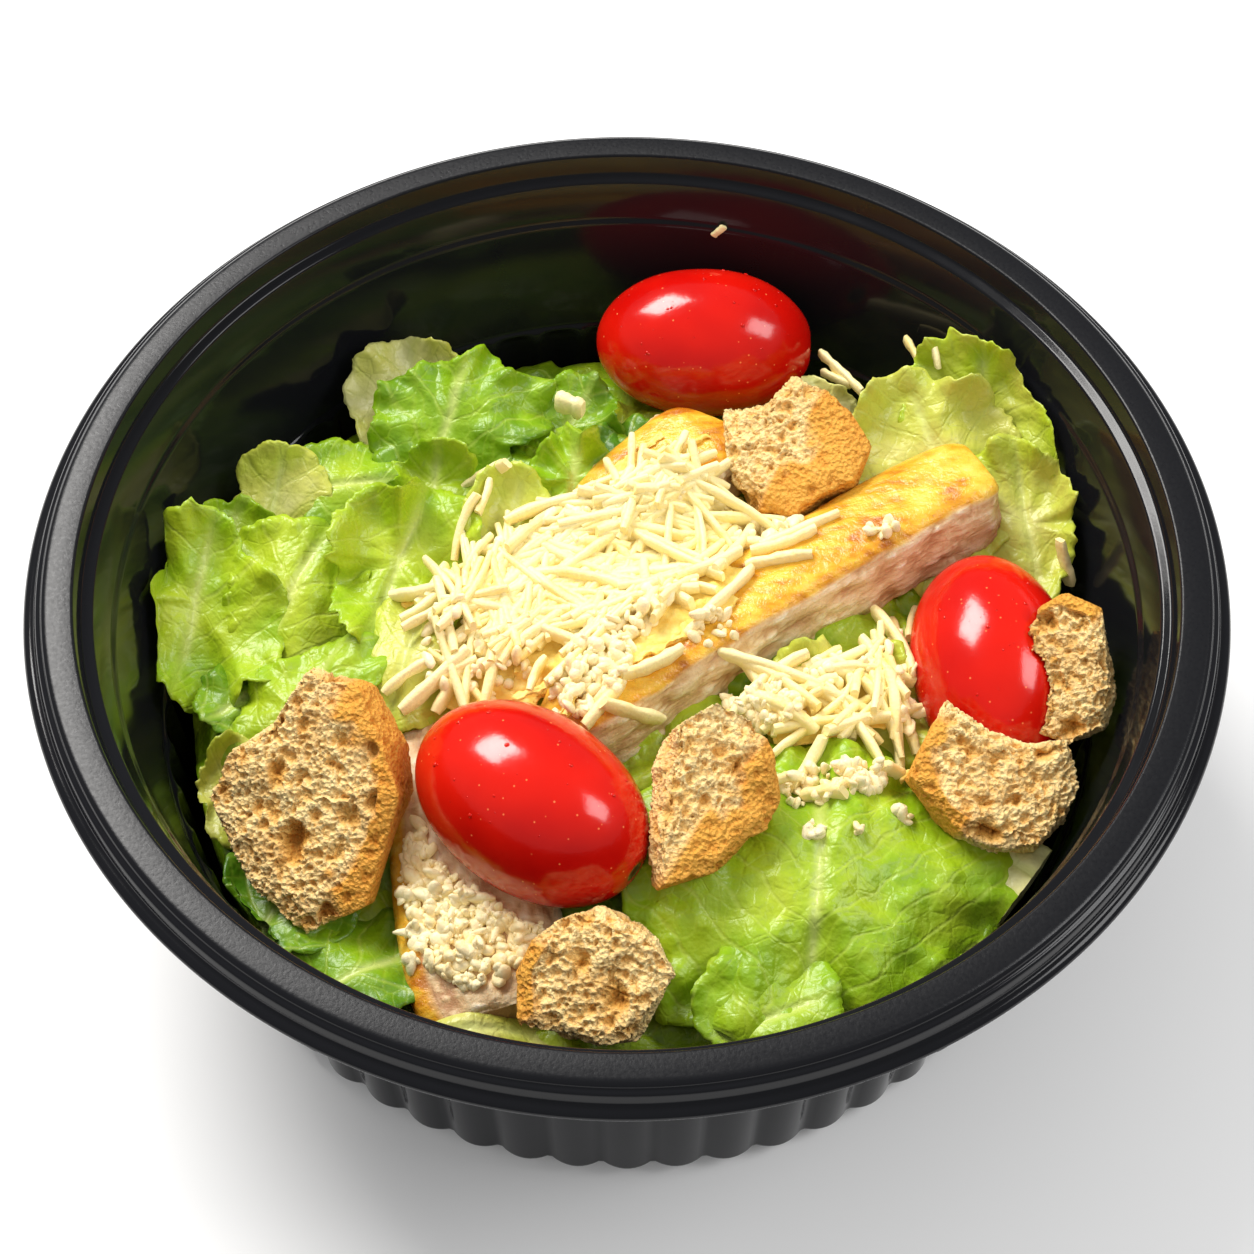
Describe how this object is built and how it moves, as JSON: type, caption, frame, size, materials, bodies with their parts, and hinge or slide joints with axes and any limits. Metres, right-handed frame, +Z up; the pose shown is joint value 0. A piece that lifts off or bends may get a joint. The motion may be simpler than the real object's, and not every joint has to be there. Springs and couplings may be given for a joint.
{
  "type": "chicken caesar salad in a bowl",
  "caption": "Chicken caesar salad in a round black ribbed take-away bowl: lettuce heap, sliced chicken, plum tomatoes, torn croutons and grated cheese.",
  "frame": {"origin": "on the surface the bowl stands on, under the middle of the bowl", "axes": "+Z up out of the bowl's mouth, -Y towards the front of the salad as it is served, +X to its right"},
  "size_m": [0.184, 0.1839, 0.066],
  "materials": {
    "bowl": "black moulded plastic, glossy inside, satin on the rim's flat",
    "tomato": "taut wet red skin",
    "chicken": "cooked breast with a yellow seasoned outside and a pale fibrous cut side",
    "bread": "open toasted crumb with a golden crust",
    "cheese": "pale grated hard cheese",
    "lettuce": "thin ruffled green leaf, waxy sheen"
  },
  "bodies": {
    "root": {"bowl": "bowl", "tomato_front": "tomato", "tomato_back": "tomato", "tomato_right": "tomato", "chicken_long": "chicken", "chicken_small": "chicken", "chicken_lower": "chicken", "crouton_left": "bread", "crouton_middle": "bread", "crouton_bottom": "bread", "crouton_right_low": "bread", "crouton_right_high": "bread", "crouton_top": "bread", "cheese_mound": "cheese", "cheese_side": "cheese", "cheese_front": "cheese", "lettuce": "lettuce"}
  },
  "joints": []
}
